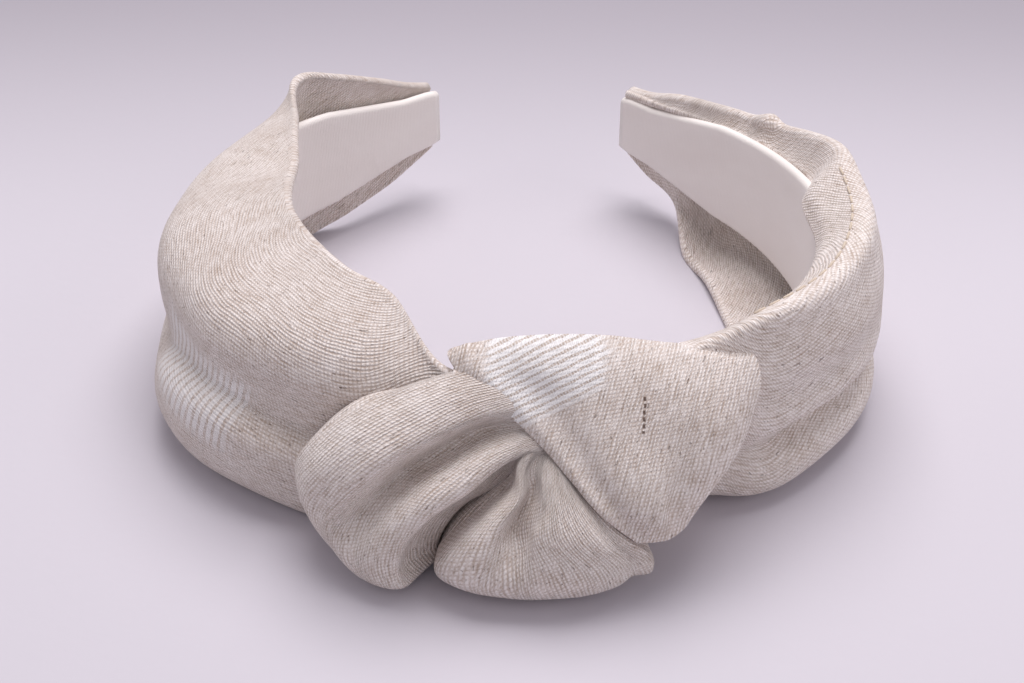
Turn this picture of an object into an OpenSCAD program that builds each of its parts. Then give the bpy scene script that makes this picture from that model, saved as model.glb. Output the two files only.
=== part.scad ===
// Knotted headband: a sprung C-shaped strip, lined on the inside, padded on the outside and
// covered by a wide flattened fabric tube that is tied into a turban knot at the crown.
// It lies on its lower edges: the open tips point to +Y, the knot faces -Y, +Z is up.

/* [Band] */
// Clear width inside the band at its widest
inner_w = 133; // [115:1:165]
// Distance from the widest line forward to the inside of the crown
crown_rise = 53; // [44:1:64]
// How much flatter the crown is than a round of the sides' radius
crown_flat = 5.5; // [3:0.5:9]
// Turn of each side behind the widest line, in degrees
tip_turn = 45; // [35:1:52]
// Length of the straight stretch at each tip
tip_len = 34.5; // [22:1:40]
// Width of the stiff strip along the crown and sides
strip_w = 28.4; // [22:0.2:36]
// Width of the stiff strip at its tips
tip_w = 13.4; // [10:0.2:18]
// Thickness of the stiff strip
core_t = 1.6; // [1.2:0.1:2.4]
// Thickness of the lining ribbon, which also wraps the strip's edges
lining_t = 0.8; // [0.4:0.1:1.2]
// Thickness of the foam padding on the outside
pad_t = 2.4; // [1.5:0.1:4]

/* [Cover] */
// Height that the cover stands on the table
cover_h = 44; // [40:0.5:52]
// Thickness of the cover's cloth, both layers pressed together
cover_t = 1.6; // [1:0.1:2.4]
// How far the left cover's top edge leans in over the band
left_lean = 20; // [10:0.5:24]
// How far the right cover's lower hem reaches in under the band
right_reach = 14; // [6:0.5:16]
// How far the right cover puffs out beyond the padding
right_puff = 5.5; // [2:0.5:8]
// Diameter of the sewing thread
thread_d = 0.6; // [0.4:0.1:1]

/* [Knot] */
// Sideways place of the knot's pinch
knot_x = 8; // [2:0.5:10]
// How far the knot stands out in front of the cover
knot_out = 20; // [14:0.5:26]
// Length of the knot's left loop, sideways from the pinch
loop_len = 46; // [34:1:50]
// Length of the knot's right tongue, sideways from the pinch
tongue_len = 39; // [30:1:42]

/* [Flex] */
// Angle round the crown at which each arm starts to flex
flex_angle = 43; // [38:1:50]
// Slit between the crown and an arm
flex_gap = 0.5; // [0.3:0.1:1]

/* [Hidden] */
$fn = 96;

linen = [0.84, 0.79, 0.73];
linen_light = [0.89, 0.85, 0.81];
ribbon_cream = [0.90, 0.87, 0.83];
strip_white = [0.93, 0.93, 0.92];
foam_white = [0.96, 0.95, 0.90];
thread_tan = [0.74, 0.66, 0.57];

// Places: the widest line's Y and the band's middle X put the origin under the whole object.
mid_x = -2.35;
wide_y = 3.15;
mid_z = cover_h / 2;
fit_gap = 0.3;

// Plan of the lining's inner face: one crown arc, two front arcs, two back arcs, two straight tips.
half_w = inner_w / 2;
front_r = crown_rise - crown_flat;
front_x = half_w - front_r;
crown_r = (front_x * front_x + crown_rise * crown_rise - front_r * front_r) / (2 * crown_flat);
crown_cy = wide_y - crown_rise + crown_r;
crown_angle = atan2(front_x, crown_r - crown_rise);
rad = PI / 180;
crown_half = crown_r * crown_angle * rad;
front_len = front_r * (90 - crown_angle) * rad;
back_len = half_w * tip_turn * rad;
arm_end = crown_half + front_len + back_len + tip_len;
flex_s = crown_half + front_r * (flex_angle - crown_angle) * rad;

// Layers outward from the lining's inner face.
core_n = lining_t;
pad_n = core_n + core_t;
cover_n = pad_n + pad_t + fit_gap + cover_t / 2;
sheath_h = strip_w + 2 * lining_t;
turn_room = 0.8;
over_z = sheath_h / 2 + fit_gap + cover_t / 2 + turn_room;
edge_z = cover_h / 2 - cover_t / 2;

// Outward direction, in degrees turned from -Y, at a distance s along the inner face.
function turn(s) =
    s < crown_half ? s / crown_r / rad :
    s < crown_half + front_len ? crown_angle + (s - crown_half) / front_r / rad :
    s < crown_half + front_len + back_len ? 90 + (s - crown_half - front_len) / half_w / rad :
    90 + tip_turn;

// Centre and radius of the arc at that distance, and how far it is past the arcs' end.
function arc_at(s) =
    s < crown_half ? [0, crown_cy, crown_r, 0] :
    s < crown_half + front_len ? [front_x, wide_y, front_r, 0] :
    [0, wide_y, half_w, max(0, s - crown_half - front_len - back_len)];

// Point of the plan at distance s, n outside the inner face; side is 1 right, -1 left.
function plan(s, n, side) =
    let (c = arc_at(s), a = turn(s), r = c[2] + n)
    [mid_x + side * (c[0] + r * sin(a) + c[3] * cos(a)), c[1] - r * cos(a) + c[3] * sin(a)];

// Smooth curve through a list of values of any kind, at t from 0 to 1.
function blend4(p, q, r, v, f) =
    0.5 * (2 * q + (r - p) * f + (2 * p - 5 * q + 4 * r - v) * f * f + (3 * q - p - 3 * r + v) * f * f * f);
function along(list, t) =
    let (m = len(list) - 1, x = min(max(t, 0), 1) * m, i = min(floor(x), m - 1), f = x - i)
    blend4(list[max(i - 1, 0)], list[i], list[i + 1], list[min(i + 2, m)], f);

// Outline of a section of cloth of thickness t about a line of [n, z] points.
function unit2(v) = v / max(norm(v), 0.001);
function cloth_outline(line, t) =
    let (m = len(line) - 1,
         side = [for (i = [0:m]) let (d = unit2(line[min(i + 1, m)] - line[max(i - 1, 0)])) [d[1], -d[0]]])
    concat([for (i = [0:m]) line[i] + side[i] * t / 2],
           [for (i = [m:-1:0]) line[i] - side[i] * t / 2]);

// Closed solid through equal rings of points; each end is closed by strips across the ring.
module loft(rings) {
    n = len(rings);
    m = len(rings[0]);
    points = [for (ring = rings) each ring];
    walls = [for (i = [0:n - 2], j = [0:m - 1], k = [0, 1])
        let (a = i * m + j, b = i * m + (j + 1) % m)
        k == 0 ? [a, b, b + m] : [a, b + m, a + m]];
    last = (n - 1) * m;
    caps = [for (j = [0:m / 2 - 2]) let (a = j, b = j + 1, c = m - 2 - j, d = m - 1 - j)
        each [[a, c, b], [a, d, c], [last + a, last + b, last + c], [last + a, last + c, last + d]]];
    polyhedron(points, concat(walls, caps));
}

// Sections of the cover, from the lower hem over the outside to the top edge, as [n, z from mid].
low = -mid_z + cover_t / 2;
snug = cover_n;
function left_section(hem, lip, lean) =
    [[hem, low], [snug + lip * 0.6, low + 1.5], [snug + lip, -13.5], [snug + lip * 0.15, -5],
     [snug, 4], [snug, 12.5], [snug - 6, over_z + 0.6], [-lean, edge_z]];
function right_section(hem, puff, top) =
    [[hem, low + 0.6], [snug - 3, low + 0.3], [snug + puff, -14], [snug + puff, -6],
     [snug + puff, 2], [snug + puff, 10], [snug + puff * 0.4 + top * 0.6, 16], [snug + top, edge_z]];
under_knot = [[snug - 2, -over_z], [snug, -over_z + 5], [snug, -9], [snug, -3],
              [snug, 3], [snug, 9], [snug, over_z - 4], [snug - 2, over_z]];
beside_knot = [[snug - 3, low + 2], [snug + 0.6, low + 5], [snug + 0.4, -9], [snug, -3],
               [snug, 4], [snug, 11], [snug - 2.5, over_z], [snug - 10, edge_z - 1]];
under_tongue = [[snug - 3, low + 1], [snug, low + 4], [snug, -9], [snug, -3],
                [snug, 4], [snug, 11], [snug - 0.5, over_z - 3], [snug - 2, over_z]];
left_peak = [[snug - 3, low], [snug - 0.5, low + 4], [snug, -12], [snug, -4],
             [snug, 4], [snug, 11], [snug, 16], [snug, edge_z]];
tip_n = pad_n + 2 * fit_gap + cover_t / 2;
tip_bow = 0.5;
function tip_section(below, above) =
    [for (k = [-7:2:7]) [tip_n + tip_bow * (1 - k * k / 49), (above - below) / 2 + k * (above + below) / 14]];
left_sections = [left_section(0, 4, left_lean), left_section(-1, 2.5, left_lean),
                 left_section(-1, 1.5, left_lean), left_section(-1, 1, left_lean * 0.95),
                 left_section(-1, 0.5, left_lean * 0.75), left_section(0, 0.3, left_lean * 0.3),
                 left_peak, tip_section(15, 17.5), tip_section(tip_w * 0.7, tip_w * 0.65)];
right_sections = [right_section(-right_reach * 0.5, right_puff * 0.4, -1),
                  right_section(-right_reach * 0.8, right_puff * 0.9, 0),
                  right_section(-right_reach, right_puff, 1), right_section(-right_reach, right_puff, 2),
                  right_section(-right_reach, right_puff * 0.8, 2.6),
                  right_section(-right_reach * 0.85, right_puff * 0.4, 2),
                  right_section(-right_reach * 0.6, 0.5, 0.8), tip_section(15.5, 15.5),
                  tip_section(tip_w * 0.7, tip_w * 0.65)];
crown_sections = [left_sections[0], left_section(0, 2.5, left_lean * 0.62), beside_knot, under_knot,
                  under_tongue, right_sections[0]];

// Steps from 0 to n, turned round on the left so that both sides' lofts face outward.
function outward(n, side) = side > 0 ? [for (i = [0:n]) i] : [for (i = [n:-1:0]) i];

// One ring of a cover: side is the side of the plan, s the distance from the crown's middle.
line_steps = 13;
function cover_ring(sections, t, s, side, thick = cover_t) =
    let (shape = along(sections, t), line = [for (k = [0:line_steps]) along(shape, k / line_steps)])
    [for (q = cloth_outline(line, thick)) concat(plan(s, q[0], side), [max(0, mid_z + q[1])])];

arm_start = flex_s + flex_gap / 2;
cover_end = arm_end - 3;
arm_rings = 24;
module arm_cover(sections, side) {
    loft([for (i = outward(arm_rings, side))
        let (t = i / arm_rings) cover_ring(sections, t, arm_start + t * (cover_end - arm_start), side)]);
}

// Upright strip on the plan from distance s0 to s1 (left is negative), n0 to n0 + t out, h tall.
// Every layer turns at the same multiples of strip_step, so that layers meet along shared walls.
strip_step = 3;
module strip(n0, t, h, s0, s1) {
    between = [for (i = [ceil(s0 / strip_step + 0.2):floor(s1 / strip_step - 0.2)]) i * strip_step];
    stops = concat([s0], between, [s1]);
    inner = [for (s = stops) plan(abs(s), n0, sign(s))];
    outer = [for (i = [len(stops) - 1:-1:0]) plan(abs(stops[i]), n0 + t, sign(stops[i]))];
    translate([0, 0, mid_z - h / 2]) linear_extrude(h) polygon(concat(inner, outer));
}
module arm_strip(n0, t, h, side, back) {
    if (side > 0) strip(n0, t, h, arm_start, arm_end - back);
    else strip(n0, t, h, back - arm_end, -arm_start);
}
module crown_strip(n0, t, h) strip(n0, t, h, -crown_end, crown_end);

// Side view that narrows a strip of height h to tip_h at its tips, which end `back` short.
taper_len = 62;
module taper(h, tip_h, back) {
    end = wide_y + (half_w + pad_n) * sin(tip_turn) + tip_len * cos(tip_turn) - back;
    rotate([90, 0, 90])
        translate([0, mid_z, -inner_w])
            linear_extrude(2 * inner_w)
                polygon([[-inner_w, -h / 2], [end - taper_len, -h / 2], [end - taper_len * 0.4, -h * 0.41],
                         [end - 5, -tip_h * 0.52], [end, -tip_h * 0.36], [end, tip_h * 0.36],
                         [end - 5, tip_h * 0.52], [end - taper_len * 0.4, h * 0.41],
                         [end - taper_len, h / 2], [-inner_w, h / 2]]);
}

module arm_core(side) {
    color(strip_white) intersection() {
        arm_strip(core_n, core_t, strip_w, side, lining_t);
        taper(strip_w, tip_w, lining_t);
    }
}
// The lining covers the strip's inner face and wraps over its edges and its tip.
module arm_lining(side) {
    color(ribbon_cream) difference() {
        intersection() {
            arm_strip(0, pad_n, sheath_h, side, 0);
            taper(sheath_h, tip_w + 2 * lining_t, 0);
        }
        intersection() {
            arm_strip(core_n, core_t + 1, strip_w, side, lining_t);
            taper(strip_w, tip_w, lining_t);
        }
    }
}
pad_h = strip_w - 5;
pad_back = 36;
module arm_padding(side) {
    color(foam_white) intersection() {
        arm_strip(pad_n, pad_t, pad_h, side, pad_back);
        taper(pad_h, tip_w, 0);
    }
}
module crown_core() color(strip_white) crown_strip(core_n, core_t, strip_w);
module crown_lining() {
    color(ribbon_cream) difference() {
        crown_strip(0, pad_n, sheath_h);
        crown_strip(core_n, core_t + 1, strip_w);
    }
}
module crown_padding() color(foam_white) crown_strip(pad_n, pad_t, pad_h);

crown_end = flex_s - flex_gap / 2;
crown_rings = 26;
module crown_loft(thick) {
    loft([for (i = [0:crown_rings])
        let (t = i / crown_rings, s = (2 * t - 1) * crown_end)
        cover_ring(crown_sections, t, abs(s), s < 0 ? -1 : 1, thick)]);
}
module crown_cover() color(linen) crown_loft(cover_t);
// The room that the crown's cover takes, with clearance, where it stands proud of the knot's seat.
module cover_room() crown_loft(cover_t + 2 * fit_gap);
module left_core() arm_core(-1);
module right_core() arm_core(1);
module left_lining() arm_lining(-1);
module right_lining() arm_lining(1);
module left_padding() arm_padding(-1);
module right_padding() arm_padding(1);
module left_cover() color(linen) arm_cover(left_sections, -1);
module right_cover() color(linen_light) arm_cover(right_sections, 1);

// Sewing thread along a cover, `inset` of the section's length in from one edge.
thread_rings = 40;
module seam_thread(sections, side, inset) {
    loft([for (i = outward(thread_rings, side))
        let (t = 0.02 + 0.72 * i / thread_rings,
             s = arm_start + t * (cover_end - arm_start),
             shape = along(sections, t),
             at = along(shape, inset),
             d = unit2(along(shape, min(1, inset + 0.02)) - along(shape, max(0, inset - 0.02))),
             out = [d[1], -d[0]])
        [for (k = [0:5])
            let (q = at + out * (cover_t / 2 + thread_d / 2 * cos(60 * k)) + d * thread_d / 2 * sin(60 * k))
            concat(plan(s, q[0], side), [max(0, mid_z + q[1])])]]);
}
module left_seam_thread() color(thread_tan) seam_thread(left_sections, -1, 0.09);
module right_seam_thread() color(thread_tan) seam_thread(right_sections, 1, 0.9);

// The knot sits against the cover: this is the room that the band and its cover take.
seat_room = 0.5;
knot_seat_n = snug + cover_t / 2 + fit_gap + seat_room;
knot_seat_z = mid_z + over_z + cover_t / 2 + fit_gap;
module knot_seat() {
    translate([mid_x, crown_cy, -1])
        rotate_extrude() translate([crown_r - 40, 0]) square([40 + knot_seat_n, knot_seat_z + 1]);
}
front_y = crown_cy - crown_r - knot_seat_n;

// A rounded lobe of cloth around places given as [x from the pinch, y in front of the seat, z, radius].
module lobe(places, grow) {
    hull() for (p = places)
        translate([knot_x + p[0], front_y - p[1], p[2]]) sphere(p[3] + grow, $fn = 20);
}
knot_top = cover_h + 1.5;
tongue_places = [[-15, -4, knot_top - 3.5, 3], [2, -6, knot_top - 4, 4], [19, -6, knot_top - 4.5, 3.5],
                 [tongue_len - 3.5, -10.5, 37, 3.5], [tongue_len - 5.5, -6, 20, 4.5],
                 [tongue_len * 0.67, 0, 12, 4], [tongue_len * 0.45, knot_out - 15, 9.5, 3.5],
                 [1, knot_out - 12, 31, 3.5], [-6, 3, 38, 3.5], [14, knot_out - 16, 30, 5]];
loop_places = [[-12, 2, 38, 5], [-1, knot_out - 12, 33, 5], [-loop_len * 0.6, 4, 27, 6.5],
               [7 - loop_len, 1.5, 21, 7], [6.5 - loop_len, 4, 14, 6.5], [-loop_len * 0.78, 7, 9, 7],
               [-loop_len * 0.52, knot_out - 11, 8, 7.5], [-12, knot_out - 11, 9, 7],
               [-3, knot_out - 10, 20, 6]];
lower_places = [[3, knot_out - 10, 24, 4], [14, knot_out - 11, 13, 4], [18, knot_out - 12, 6, 3.5],
                [2, knot_out - 8.5, 6.3, 7.5], [-9, knot_out - 9.5, 6.3, 7], [-14, knot_out - 12, 7, 5.5]];
module knot_tongue() {
    color(linen_light) difference() {
        lobe(tongue_places, 0);
        knot_seat();
        cover_room();
    }
}
module knot_left_loop() {
    color(linen) difference() {
        lobe(loop_places, 0);
        knot_seat();
        cover_room();
        lobe(tongue_places, fit_gap);
    }
}
module knot_lower_lobe() {
    color(linen) difference() {
        lobe(lower_places, 0);
        knot_seat();
        lobe(tongue_places, fit_gap);
        lobe(loop_places, fit_gap);
        translate([-inner_w, -inner_w, -20]) cube([2 * inner_w, 2 * inner_w, 20]);
    }
}

crown_core();
crown_lining();
crown_padding();
crown_cover();
knot_tongue();
knot_left_loop();
knot_lower_lobe();
left_core();
left_lining();
left_padding();
left_cover();
left_seam_thread();
right_core();
right_lining();
right_padding();
right_cover();
right_seam_thread();
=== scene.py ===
"""Knotted headband: a lined and padded C-shaped band under a wide linen twill cover tied in a knot.

The band lies on its lower edges with its open tips towards +Y. Shapes are worked out in millimetres,
on a plan that every layer shares: s runs along the lining's inner face from the crown's middle
(positive to the right), n runs outward from that face, and z is the height over the table.
"""

import logging
import math
from dataclasses import dataclass, field
from enum import Enum
from typing import Callable, Optional, Sequence, Union

import bmesh
import bpy
import numpy as np
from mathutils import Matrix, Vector


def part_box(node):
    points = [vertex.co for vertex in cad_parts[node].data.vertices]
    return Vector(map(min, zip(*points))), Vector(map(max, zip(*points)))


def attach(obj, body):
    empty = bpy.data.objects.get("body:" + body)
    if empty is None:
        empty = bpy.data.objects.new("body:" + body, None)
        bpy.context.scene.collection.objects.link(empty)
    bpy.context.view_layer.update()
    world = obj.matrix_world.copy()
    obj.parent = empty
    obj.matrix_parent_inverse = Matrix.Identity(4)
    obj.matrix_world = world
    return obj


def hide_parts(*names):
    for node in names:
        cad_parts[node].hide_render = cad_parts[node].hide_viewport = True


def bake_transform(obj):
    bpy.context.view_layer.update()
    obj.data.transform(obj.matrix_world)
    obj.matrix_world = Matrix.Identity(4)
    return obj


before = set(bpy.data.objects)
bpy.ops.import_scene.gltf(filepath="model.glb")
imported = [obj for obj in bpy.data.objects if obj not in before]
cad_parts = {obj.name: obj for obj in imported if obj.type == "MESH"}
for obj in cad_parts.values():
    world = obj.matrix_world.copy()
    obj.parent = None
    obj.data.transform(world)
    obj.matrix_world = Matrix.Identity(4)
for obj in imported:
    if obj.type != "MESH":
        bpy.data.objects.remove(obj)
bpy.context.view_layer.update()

LOG = logging.getLogger("headband")
MM = 0.001
WEAVE_UV = "weave"
TAU = 2 * math.pi


# ---------------------------------------------------------------- shape helpers


def smooth(points: Sequence, count: int, closed: bool = False) -> np.ndarray:
    """Resample a list of values of any shape along a smooth curve through all of them.

    Args:
        points: The values, one per stop.
        count: How many samples to give.
        closed: Whether the curve runs back from the last stop to the first.

    Returns:
        An array of count samples.
    """
    p = np.asarray(points, float)
    m = len(p)
    spans = m if closed else m - 1
    t = np.linspace(0, spans, count, endpoint=not closed)
    i = np.minimum(t.astype(int), spans - 1)
    f = (t - i).reshape((-1,) + (1,) * (p.ndim - 1))
    pick = (lambda k: p[(i + k) % m]) if closed else (lambda k: p[np.clip(i + k, 0, m - 1)])
    a, b, c, d = pick(-1), pick(0), pick(1), pick(2)
    return 0.5 * (2 * b + (c - a) * f + (2 * a - 5 * b + 4 * c - d) * f**2 + (3 * b - a - 3 * c + d) * f**3)


def bell(x: np.ndarray, middle: float, width: float) -> np.ndarray:
    """A smooth bump of height 1 about middle that fades over width."""
    return np.exp(-(((x - middle) / width) ** 2))


def arc_lengths(points: np.ndarray) -> np.ndarray:
    """Distance along a line of points, from 0 at the first."""
    steps = np.linalg.norm(np.diff(points, axis=0), axis=1)
    return np.concatenate([[0.0], np.cumsum(steps)])


def tube(name: str, rings: np.ndarray, weave: np.ndarray) -> bpy.types.Object:
    """Make a closed mesh through rings of points, with strips across each end.

    Args:
        name: Name of the new piece.
        rings: Array of shape (rings, points, 3), in millimetres.
        weave: Array of shape (rings, points + 1, 2), places on the flat cloth in millimetres.

    Returns:
        The new object, at the origin.
    """
    rows, cols = rings.shape[:2]
    faces, places = [], []

    def add(corners: Sequence[tuple[int, int]]) -> None:
        """Add one face from (ring, point) corners; point may be one past the last."""
        faces.append([i * cols + j % cols for i, j in corners])
        places.extend(weave[i, j] for i, j in corners)

    for i in range(rows - 1):
        for j in range(cols):
            add([(i, j), (i, j + 1), (i + 1, j + 1), (i + 1, j)])
    for j in range(cols // 2 - 1):
        for i in (0, rows - 1):
            add([(i, j), (i, j + 1), (i, cols - 2 - j), (i, cols - 1 - j)])
    mesh = bpy.data.meshes.new(name)
    mesh.from_pydata((rings.reshape(-1, 3) * MM).tolist(), [], faces)
    mesh.uv_layers.new(name=WEAVE_UV).data.foreach_set("uv", np.array(places, np.float32).ravel())
    work = bmesh.new()
    work.from_mesh(mesh)
    bmesh.ops.recalc_face_normals(work, faces=work.faces)
    work.to_mesh(mesh)
    work.free()
    mesh.polygons.foreach_set("use_smooth", [True] * len(mesh.polygons))
    piece = bpy.data.objects.new(name, mesh)
    bpy.context.scene.collection.objects.link(piece)
    return piece


class Side(Enum):
    """A side of the band; the value is the sign of s there."""

    LEFT = -1
    RIGHT = 1

    @property
    def word(self) -> str:
        """The side's name, as the frame's parts spell it."""
        return self.name.lower()

    @property
    def arm(self) -> str:
        """The moving body on this side."""
        return f"{self.word}_arm"


@dataclass(frozen=True)
class Plan:
    """Plan of the lining's inner face, in millimetres, with its arcs and straight tips."""

    half_w: float
    mid_x: float
    wide_y: float
    rise: float = 53.0
    flatness: float = 5.5
    tip_turn: float = 45.0
    tip_len: float = 34.5
    flex_angle: float = 43.0
    mid_z: float = 22.0

    @classmethod
    def from_frame(cls, lining_thick: float) -> "Plan":
        """Fit the plan to the frame's lining.

        Args:
            lining_thick: Thickness of the strip with its lining.

        Returns:
            The plan.
        """
        left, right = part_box("left_lining")[0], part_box("right_lining")[1]
        half_w = (right.x - left.x) / MM / 2 - lining_thick
        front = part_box("crown_lining")[0].y / MM + lining_thick
        return cls(half_w=half_w, mid_x=(right.x + left.x) / MM / 2, wide_y=front + cls.rise)

    @property
    def front_r(self) -> float:
        """Radius of the arcs beside the crown."""
        return self.rise - self.flatness

    @property
    def front_x(self) -> float:
        """Sideways place of the centres of those arcs."""
        return self.half_w - self.front_r

    @property
    def crown_r(self) -> float:
        """Radius of the crown's arc."""
        return (self.front_x**2 + self.rise**2 - self.front_r**2) / (2 * self.flatness)

    @property
    def crown_cy(self) -> float:
        """Y of the crown arc's centre."""
        return self.wide_y - self.rise + self.crown_r

    @property
    def crown_angle(self) -> float:
        """Half of the crown arc's angle, in degrees."""
        return math.degrees(math.atan2(self.front_x, self.crown_r - self.rise))

    @property
    def crown_half(self) -> float:
        """Half of the crown arc's length."""
        return self.crown_r * math.radians(self.crown_angle)

    @property
    def front_end(self) -> float:
        """Distance from the crown's middle to the band's widest line."""
        return self.crown_half + self.front_r * math.radians(90 - self.crown_angle)

    @property
    def arcs_end(self) -> float:
        """Distance from the crown's middle to the straight tip."""
        return self.front_end + self.half_w * math.radians(self.tip_turn)

    @property
    def arm_end(self) -> float:
        """Distance from the crown's middle to the end of a tip."""
        return self.arcs_end + self.tip_len

    @property
    def flex_s(self) -> float:
        """Distance from the crown's middle to an arm's flex line."""
        return self.crown_half + self.front_r * math.radians(self.flex_angle - self.crown_angle)

    def frame_at(self, s: float) -> tuple[np.ndarray, np.ndarray]:
        """Place of the inner face at s and the outward direction there, both as [x, y].

        Args:
            s: Distance from the crown's middle, positive to the right.

        Returns:
            The place and the unit direction.
        """
        side, d = (1 if s >= 0 else -1), abs(s)
        if d < self.crown_half:
            centre, radius, angle, past = (0, self.crown_cy), self.crown_r, d / self.crown_r, 0.0
        elif d < self.front_end:
            centre, radius, past = (self.front_x, self.wide_y), self.front_r, 0.0
            angle = math.radians(self.crown_angle) + (d - self.crown_half) / self.front_r
        else:
            centre, radius, past = (0, self.wide_y), self.half_w, max(0.0, d - self.arcs_end)
            angle = math.pi / 2 + (min(d, self.arcs_end) - self.front_end) / self.half_w
        out = np.array([side * math.sin(angle), -math.cos(angle)])
        forward = np.array([side * math.cos(angle), math.sin(angle)])
        middle = np.array([self.mid_x + side * centre[0], centre[1]])
        return middle + out * radius + forward * past, out

    def ring(self, s: float, section: np.ndarray) -> np.ndarray:
        """Stand a section of [n, z from the middle height] points up at s.

        Args:
            s: Distance from the crown's middle.
            section: Array of shape (points, 2).

        Returns:
            Array of shape (points, 3), in millimetres.
        """
        place, out = self.frame_at(s)
        xy = place + section[:, :1] * out
        return np.column_stack([xy, self.mid_z + section[:, 1]])

    def flex_ends(self, side: Side, reach: float = 10.0) -> tuple[Vector, Vector]:
        """Points on both sides of a flex line.

        Args:
            side: Which arm.
            reach: Distance of each point from the line.

        Returns:
            The start, on the crown, and the end, on the arm, in metres.
        """
        place, out = self.frame_at(side.value * self.flex_s)
        forward = np.array([-out[1], out[0]]) * side.value
        start, end = place - forward * reach, place + forward * reach
        return Vector((*start, self.mid_z)) * MM, Vector((*end, self.mid_z)) * MM

    def bend(self, piece: bpy.types.Object, side: Side) -> None:
        """Bake a soft piece's placement into its mesh; the flex line's ends are worked out but not used."""
        start, end = self.flex_ends(side)
        side.arm
        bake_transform(piece)


# ---------------------------------------------------------------- shader helpers


Number = Union["Value", float]


class Value:
    """A number on a node socket; arithmetic on it adds Math nodes."""

    def __init__(self, tree: "Tree", socket: bpy.types.NodeSocket) -> None:
        """Keep the socket and the tree that it belongs to."""
        self.tree = tree
        self.socket = socket

    def math(self, operation: str, *others: Number) -> "Value":
        """Apply a Math operation to this value and the others."""
        settings = {"operation": operation}
        return self.tree.node("ShaderNodeMath", settings, dict(enumerate([self, *others])))

    def __add__(self, other: Number) -> "Value":
        """Sum."""
        return self.math("ADD", other)

    def __radd__(self, other: Number) -> "Value":
        """Sum with a plain number first."""
        return self.math("ADD", other)

    def __mul__(self, other: Number) -> "Value":
        """Product."""
        return self.math("MULTIPLY", other)

    def __rmul__(self, other: Number) -> "Value":
        """Product with a plain number first."""
        return self.math("MULTIPLY", other)

    def __sub__(self, other: Number) -> "Value":
        """Difference."""
        return self.math("SUBTRACT", other)

    def __rsub__(self, other: Number) -> "Value":
        """Difference from a plain number."""
        return self.math("MULTIPLY_ADD", -1.0, other)

    def sine(self) -> "Value":
        """Sine wave moved into 0 to 1, for a value that counts whole turns."""
        return (self * TAU).math("SINE") * 0.5 + 0.5

    def step(self, low: float, high: float) -> "Value":
        """Smooth step from 0 at low to 1 at high."""
        settings = {"interpolation_type": "SMOOTHSTEP"}
        return self.tree.node("ShaderNodeMapRange", settings, {0: self, 1: low, 2: high})


class Tree:
    """The node tree of one new material with a Principled shader."""

    def __init__(self, name: str, constants: dict[str, object]) -> None:
        """Make the material.

        Args:
            name: Name of the material.
            constants: Values of the shader's sockets that are the same all over.
        """
        self.material = bpy.data.materials.new(name)
        self.material.use_nodes = True
        self.nodes = self.material.node_tree.nodes
        self.links = self.material.node_tree.links
        self.shader = self.nodes["Principled BSDF"]
        for socket, value in constants.items():
            self.shader.inputs[socket].default_value = value

    def put(self, socket: bpy.types.NodeSocket, value: object) -> None:
        """Link a value to a socket, or set a plain number or colour on it."""
        if isinstance(value, Value):
            self.links.new(value.socket, socket)
        else:
            socket.default_value = value

    def node(self, kind: str, settings: dict[str, object], inputs: dict,
             output: Union[int, str] = 0) -> Value:
        """Add a node.

        Args:
            kind: The node's type.
            settings: Its properties, set first.
            inputs: Values or links of its sockets, by name or place.
            output: Which output to give back.

        Returns:
            That output.
        """
        new = self.nodes.new(kind)
        for key, value in settings.items():
            setattr(new, key, value)
        for key, value in inputs.items():
            self.put(new.inputs[key], value)
        return Value(self, new.outputs[output])

    def weave(self) -> tuple[Value, Value]:
        """Place on the flat cloth, across and up, in millimetres."""
        flat = self.node("ShaderNodeUVMap", {"uv_map": WEAVE_UV}, {})
        return tuple(self.node("ShaderNodeSeparateXYZ", {}, {0: flat}, k) for k in (0, 1))

    def noise(self, x: Number, y: Number, z: Number = 0.0, detail: float = 2.0) -> Value:
        """Cloudy noise from about 0 to 1 with features of about one unit."""
        place = self.node("ShaderNodeCombineXYZ", {}, {0: x, 1: y, 2: z})
        return self.node("ShaderNodeTexNoise", {}, {"Vector": place, "Scale": 1.0, "Detail": detail})

    def mix(self, share: Number, one: object, other: object) -> Value:
        """Mix two colours by share of the other."""
        settings = {"data_type": "RGBA", "clamp_factor": True}
        return self.node("ShaderNodeMix", settings, {0: share, 6: one, 7: other}, 2)

    def finish(self, colour: Value, height: Value, depth: float, rough: Number) -> bpy.types.Material:
        """Join colour, roughness and bump to the shader.

        Args:
            colour: Base colour.
            height: Bump height from 0 to 1.
            depth: Height of the bumps in metres.
            rough: Roughness.

        Returns:
            The finished material.
        """
        settings = {"Strength": 1.0, "Distance": depth, "Height": height}
        bump = self.node("ShaderNodeBump", {}, settings, "Normal")
        self.put(self.shader.inputs["Base Color"], colour)
        self.put(self.shader.inputs["Roughness"], rough)
        self.put(self.shader.inputs["Normal"], bump)
        return self.material


Colour = tuple[float, float, float]
NO_LIMIT = (-1000.0, 1000.0)


def rgba(colour: Colour) -> tuple[float, float, float, float]:
    """A colour with full cover."""
    return (*colour, 1.0)


@dataclass(frozen=True)
class StripeZone:
    """Part of a cloth that is woven with white stripes, in millimetres.

    The limits are along and over the stripes, which stand at an angle to the weave, and across the cloth.
    """

    over: tuple[float, float]
    angle: float
    along: tuple[float, float] = NO_LIMIT
    across: tuple[float, float] = NO_LIMIT
    pitch: float = 1.35
    fade: float = 3.5
    strength: float = 0.85
    dashes: float = 0.5


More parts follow.
